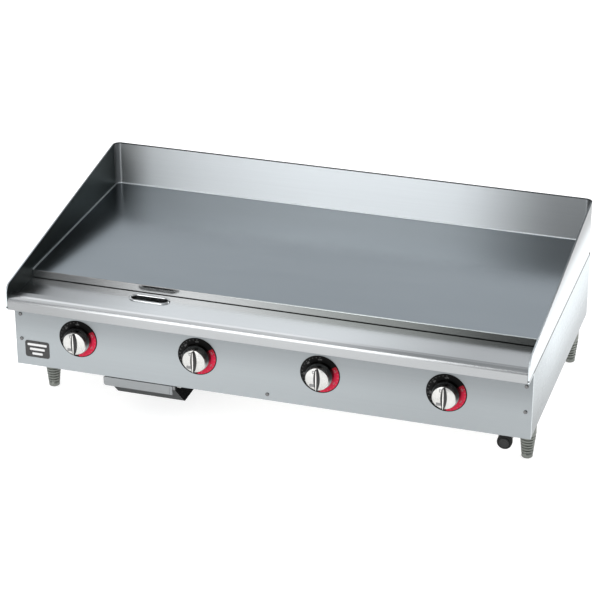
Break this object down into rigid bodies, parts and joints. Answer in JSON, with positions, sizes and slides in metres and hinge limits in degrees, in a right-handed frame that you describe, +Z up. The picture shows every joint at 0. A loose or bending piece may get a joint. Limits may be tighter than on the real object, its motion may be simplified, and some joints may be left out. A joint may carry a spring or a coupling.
{
  "type": "flat top griddle",
  "caption": "Countertop flat top griddle with a wide ground steel plate, raised splash guard, front grease trough and drawer, thermostat knobs and adjustable legs.",
  "frame": {"origin": "centre of the overall footprint on the counter surface, under the feet", "axes": "+X to the cook's right along the width, -Y towards the cook, +Z up"},
  "size_m": [1.219, 0.723, 0.425],
  "materials": {
    "stainless": "brushed stainless sheet, grain along the width",
    "ground_steel": "fine ground carbon steel plate",
    "drawer_steel": "brushed stainless sheet",
    "brass": "turned",
    "copper": "drawn tube",
    "shaft_steel": "turned",
    "thermostat_casting": "die cast",
    "dial_enamel": "gloss printed enamel",
    "chrome": "polished chrome plate",
    "black_plastic": "moulded, ribbed collar",
    "nickel_casting": "nickel plated casting",
    "screw_steel": "bright pan head",
    "pipe_steel": "black iron pipe",
    "inner_steel": "aluminised sheet"
  },
  "bodies": {
    "body": {"griddle_plate": "ground_steel", "rear_splash": "stainless", "left_splash": "stainless", "right_splash": "stainless", "grease_trough": "stainless", "drain_chute": "stainless", "front_panel": "stainless", "left_side_panel": "stainless", "right_side_panel": "stainless", "left_frame": "inner_steel", "right_frame": "inner_steel", "back_panel": "stainless", "front_rail": "inner_steel", "rear_rail": "inner_steel", "fire_wall": "inner_steel", "bottom_shield": "inner_steel", "burner_1": "inner_steel", "burner_2": "inner_steel", "burner_3": "inner_steel", "burner_4": "inner_steel", "burner_orifices": "brass", "pilot_burners": "inner_steel", "gas_manifold": "pipe_steel", "gas_supply_pipe": "pipe_steel", "thermostat_1": "thermostat_casting", "thermostat_2": "thermostat_casting", "thermostat_3": "thermostat_casting", "thermostat_4": "thermostat_casting", "sensing_bulb_1": "copper", "sensing_bulb_2": "copper", "sensing_bulb_3": "copper", "sensing_bulb_4": "copper", "dial_plate_1": "dial_enamel", "dial_plate_2": "dial_enamel", "dial_plate_3": "dial_enamel", "dial_plate_4": "dial_enamel", "igniter_bracket": "inner_steel", "igniter_body": "black_plastic", "front_left_leg": "nickel_casting", "front_right_leg": "nickel_casting", "rear_left_leg": "nickel_casting", "rear_right_leg": "nickel_casting", "left_drawer_rail": "inner_steel", "right_drawer_rail": "inner_steel", "panel_screws": "screw_steel"},
    "control_1": {"knob_1": "chrome", "thermostat_shaft_1": "shaft_steel"},
    "control_2": {"knob_2": "chrome", "thermostat_shaft_2": "shaft_steel"},
    "control_3": {"knob_3": "chrome", "thermostat_shaft_3": "shaft_steel"},
    "control_4": {"knob_4": "chrome", "thermostat_shaft_4": "shaft_steel"},
    "front_left_foot": {"front_left_foot": "nickel_casting"},
    "front_right_foot": {"front_right_foot": "nickel_casting"},
    "rear_left_foot": {"rear_left_foot": "nickel_casting"},
    "rear_right_foot": {"rear_right_foot": "nickel_casting"},
    "drawer": {"grease_drawer": "drawer_steel", "drawer_pull": "drawer_steel"},
    "button": {"igniter_button": "black_plastic"}
  },
  "joints": [
    {"name": "knob_1_turn", "type": "hinge", "parent": "body", "child": "control_1", "pos_m": [-0.45375, -0.3265, 0.206], "axis": [0, -1, 0], "range_deg": [0, 290]},
    {"name": "knob_2_turn", "type": "hinge", "parent": "body", "child": "control_2", "pos_m": [-0.16325, -0.3265, 0.206], "axis": [0, -1, 0], "range_deg": [0, 290]},
    {"name": "knob_3_turn", "type": "hinge", "parent": "body", "child": "control_3", "pos_m": [0.12725, -0.3265, 0.206], "axis": [0, -1, 0], "range_deg": [0, 290]},
    {"name": "knob_4_turn", "type": "hinge", "parent": "body", "child": "control_4", "pos_m": [0.41775, -0.3265, 0.206], "axis": [0, -1, 0], "range_deg": [0, 290]},
    {"name": "front_left_foot_screw", "type": "slide", "parent": "body", "child": "front_left_foot", "axis": [0, 0, -1], "range_m": [0, 0.025]},
    {"name": "front_right_foot_screw", "type": "slide", "parent": "body", "child": "front_right_foot", "axis": [0, 0, -1], "range_m": [0, 0.025]},
    {"name": "rear_left_foot_screw", "type": "slide", "parent": "body", "child": "rear_left_foot", "axis": [0, 0, -1], "range_m": [0, 0.025]},
    {"name": "rear_right_foot_screw", "type": "slide", "parent": "body", "child": "rear_right_foot", "axis": [0, 0, -1], "range_m": [0, 0.025]},
    {"name": "drawer_slide", "type": "slide", "parent": "body", "child": "drawer", "axis": [0, -1, 0], "range_m": [0, 0.38]},
    {"name": "igniter_press", "type": "slide", "parent": "body", "child": "button", "axis": [0, 1, 0], "range_m": [0, 0.003], "stiffness_N_per_m": 600, "springref_m": -0.004}
  ]
}
